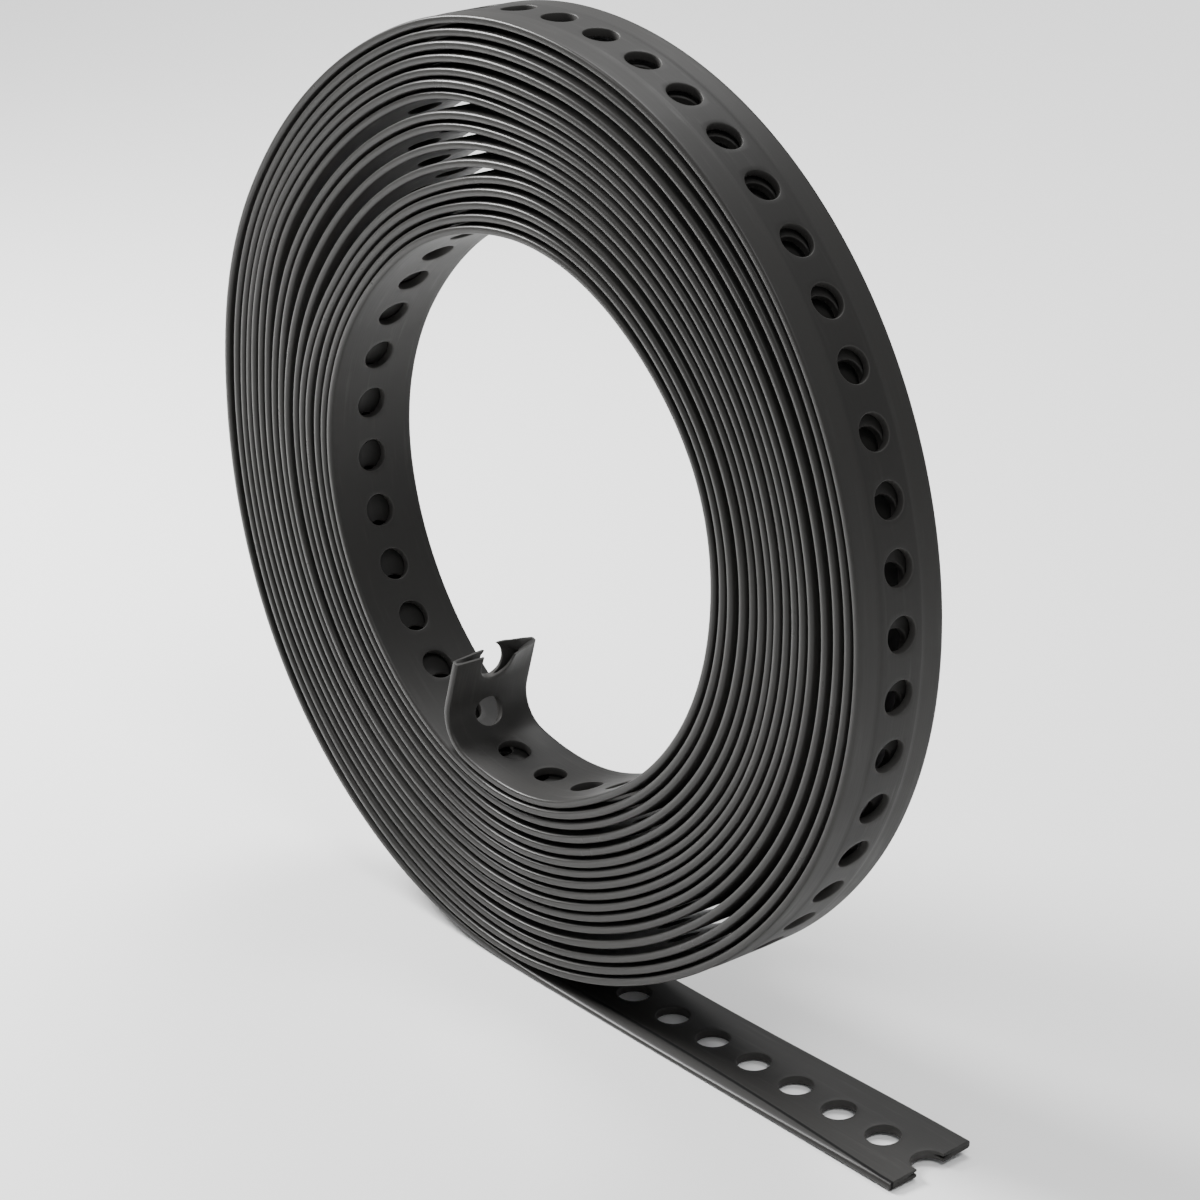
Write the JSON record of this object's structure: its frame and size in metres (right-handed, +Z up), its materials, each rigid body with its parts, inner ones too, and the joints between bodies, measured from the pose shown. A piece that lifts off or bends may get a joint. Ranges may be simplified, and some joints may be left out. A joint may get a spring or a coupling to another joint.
{
  "type": "perforated steel strap",
  "caption": "Coil of black coated perforated steel strap, standing on its outer turn with the free end flat on the floor.",
  "frame": {"origin": "on the floor, under the middle of the part's box", "axes": "+X along the free end, Y along the coil's axis, +Z up"},
  "size_m": [0.261, 0.026, 0.2457],
  "materials": {
    "strap_coat": "satin black coat"
  },
  "bodies": {
    "root": {"strap": "strap_coat"}
  },
  "joints": []
}
